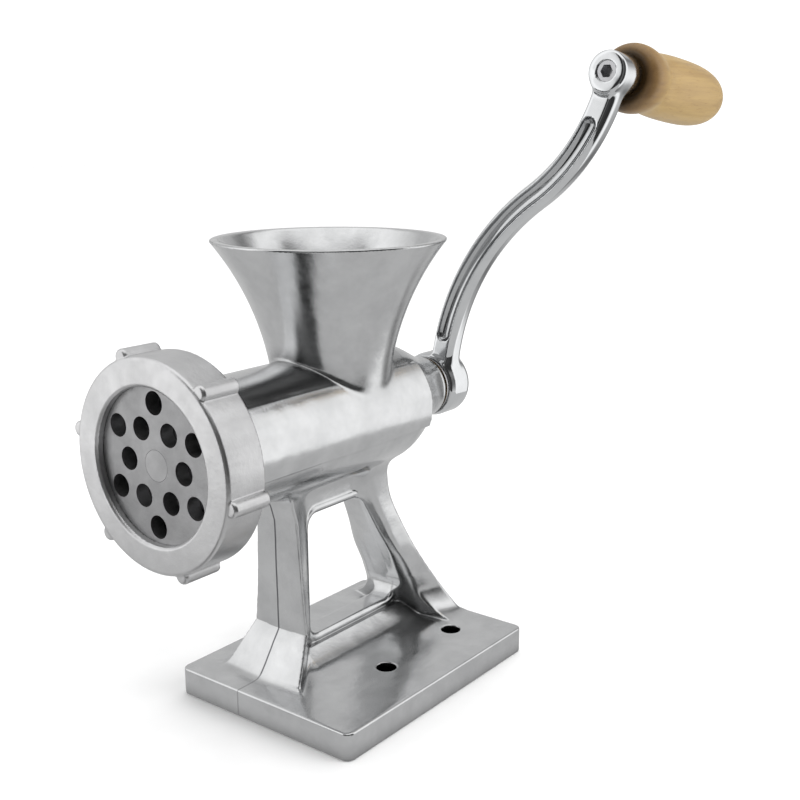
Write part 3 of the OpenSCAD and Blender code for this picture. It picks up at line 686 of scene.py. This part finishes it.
def add_paper_with_painted_shadow():
    """Round sheet under the object, seen only in its reflections, that glows instead of being lit, with a
    painted shadow on it.
    """
    bm = bmesh.new()
    bmesh.ops.create_circle(bm, cap_ends=True, radius=0.29, segments=96)
    paper = bmesh_object("paper", bm)
    paper.location = (-0.02, -0.03, -0.001)
    n = Nodes("paper")
    far = n.vector("LENGTH", n.vector("MULTIPLY_ADD", n.co, (1.5, 0.6, 0.0), (-0.03, 0.084, 0.0)))
    # painted shadow: dark near the object, lighter farther out
    tone = n.ramp(n.fit(far, 0.012, 0.06, 0, 1), [(0.0, (0.10,) * 3), (1.0, (0.62,) * 3)])
    n.set(Base_Color=(0, 0, 0, 1), Specular_IOR_Level=0.0, Emission_Color=tone, Emission_Strength=1.0)
    paper.data.materials.append(n.mat)
    for flag in ("visible_camera", "visible_diffuse", "visible_shadow", "visible_transmission"):
        setattr(paper, flag, False)


# What polished metal sees round the horizon, as degrees from the camera's side and brightness:
# two tall softboxes, dark gaps between them and a plain room behind
CAMERA_SIDE = 52
WALLS = [
    (-180, 0.66), (-150, 0.66), (-125, 0.80), (-100, 1.20), (-75, 1.35), (-60, 0.85), (-52, 0.03), (-38, 0.03),
    (-28, 0.12), (-8, 0.16), (14, 0.08), (25, 0.03), (42, 0.07), (58, 0.04), (73, 0.04), (82, 0.90), (95, 1.30),
    (112, 1.20), (125, 0.45), (135, 0.22), (150, 0.55),
]


def add_world():
    world = bpy.data.worlds.new("studio")
    scene.world = world
    world.use_nodes = True
    n = Tree(world.node_tree)
    sep = n.split(n.new("ShaderNodeTexCoord").outputs["Generated"])
    turn = n.fit(n.math("ARCTAN2", sep["Y"], sep["X"]), -math.pi, math.pi, 0, 1)
    stops = sorted(((a - CAMERA_SIDE + 180) % 360 / 360, v) for a, v in WALLS)
    walls = n.ramp(turn, [(pos, (v,) * 3) for pos, v in stops], "EASE")
    high = n.fit(sep["Z"], 0.70, 0.90, 0, 1, interpolation_type="SMOOTHSTEP")
    room = n.mix(high, walls, (1.25, 1.25, 1.25, 1))
    # soft even dome for everything that isn't a mirror, and white behind the object
    path = n.new("ShaderNodeLightPath").outputs
    dome = n.fit(sep["Y"], -1, 1, 0.55, 1.75)
    soft = n.mix(path["Is Glossy Ray"], dome, room)
    white = n.mix(path["Is Camera Ray"], soft, (1.2, 1.2, 1.2, 1))
    n.plug(white, n.t.nodes["Background"].inputs["Color"])


def studio():
    add_floor()
    add_paper_with_painted_shadow()
    add_world()
    area("key", (1.1, 0.5, 0.8), (0, 0, 0.15), 0.8, 6)
    area("top", (0.1, 0.0, 1.6), (0, 0, 0.1), 1.4, 6)
    scene.view_settings.view_transform = "Standard"


# ---------------------------------------------------------------- the scene
def put(ob, body, slot, mat, *nodes):
    ob.data.materials.clear()
    ob.data.materials.append(mat)
    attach(ob, body)
    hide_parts(*nodes)


add_camera()
studio()

# the polished casting gets painted shade in its creases and hollows
polished = metal(
    "polished_casting", (0.58, 0.585, 0.59), (0.66, 0.665, 0.67), 0.15, 0.24, 0.08, wave=0.10,
    extra=seam_and_hole_painted_shade, painted_cavity_shade=(0.006, 0.45, 0.92, 0.45),
)
satin = metal(
    "satin_casting", (0.58, 0.58, 0.585), (0.66, 0.66, 0.665), 0.30, 0.42, 0.22, wave=0.06, grain_scale=700
)
plate_mat = metal("plate_steel", (0.34, 0.34, 0.345), (0.42, 0.42, 0.425), 0.38, 0.48, 0.30, grain_scale=1100)
stud_mat = metal("stud_steel", (0.38, 0.38, 0.385), (0.45, 0.45, 0.455), 0.38, 0.46, 0.15, grain_scale=1100)
steel = metal("bright_steel", (0.50, 0.50, 0.51), (0.58, 0.58, 0.60), 0.22, 0.32, 0.08)
# the mirror chrome gets painted shade in the crank's slot and hollows
chrome = metal(
    "mirror_chrome", (0.66, 0.67, 0.68), (0.72, 0.73, 0.74), 0.05, 0.09, 0.02, wave=0.05, wave_scale=40,
    painted_cavity_shade=(0.005, 0.50, 0.93, 0.16),
)
bronze = metal("bronze", (0.40, 0.29, 0.16), (0.46, 0.34, 0.20), 0.30, 0.42, 0.15)
nylon_mat = nylon()
oak = wood()

cast = mesh_field("casting", casting, (-41, -78, 0), (50, 53.5, 157), 0.6)
put(cast, "stand", "polished_casting", polished, "body_casting")
nut = mesh_field("ring", ring_nut, (-37.5, -83, 58), (37.5, -67, 133), 0.5)
put(nut, "ring", "satin_casting", satin, "ring_nut")
arm = mesh_field("crank", crank, (-13, 54, 82), (81, 70, 218), 0.5)
put(arm, "drive", "mirror_chrome", chrome, "crank_arm")
grip = lathe("wooden_grip", grip_profile())
put(grip, "handle", "wood", oak, "grip")

# every other piece is its own CAD node, and those that show get a fine edge
looks = {name: steel for name in (
    "plate_key", "knife", "auger_pin", "drive_shaft", "crank_spacer", "crank_washer", "crank_lock_washer",
    "crank_screw", "grip_spindle", "grip_inner_washer", "grip_outer_washer",
)}
looks.update(shaft_bush=bronze, thrust_washer=nylon_mat, auger=satin)
looks.update(cutting_plate=plate_mat, front_stud=stud_mat)
for name, mat in looks.items():
    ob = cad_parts[name]
    ob.data.materials.clear()
    ob.data.materials.append(mat)
    if name in ("cutting_plate", "front_stud", "knife", "crank_screw", "grip_spindle", "crank_washer"):
        mod = ob.modifiers.new("edge", "BEVEL")
        mod.width = 0.2 * MM
        mod.segments = 2
        mod.limit_method = "ANGLE"
        mod.angle_limit = math.radians(40)
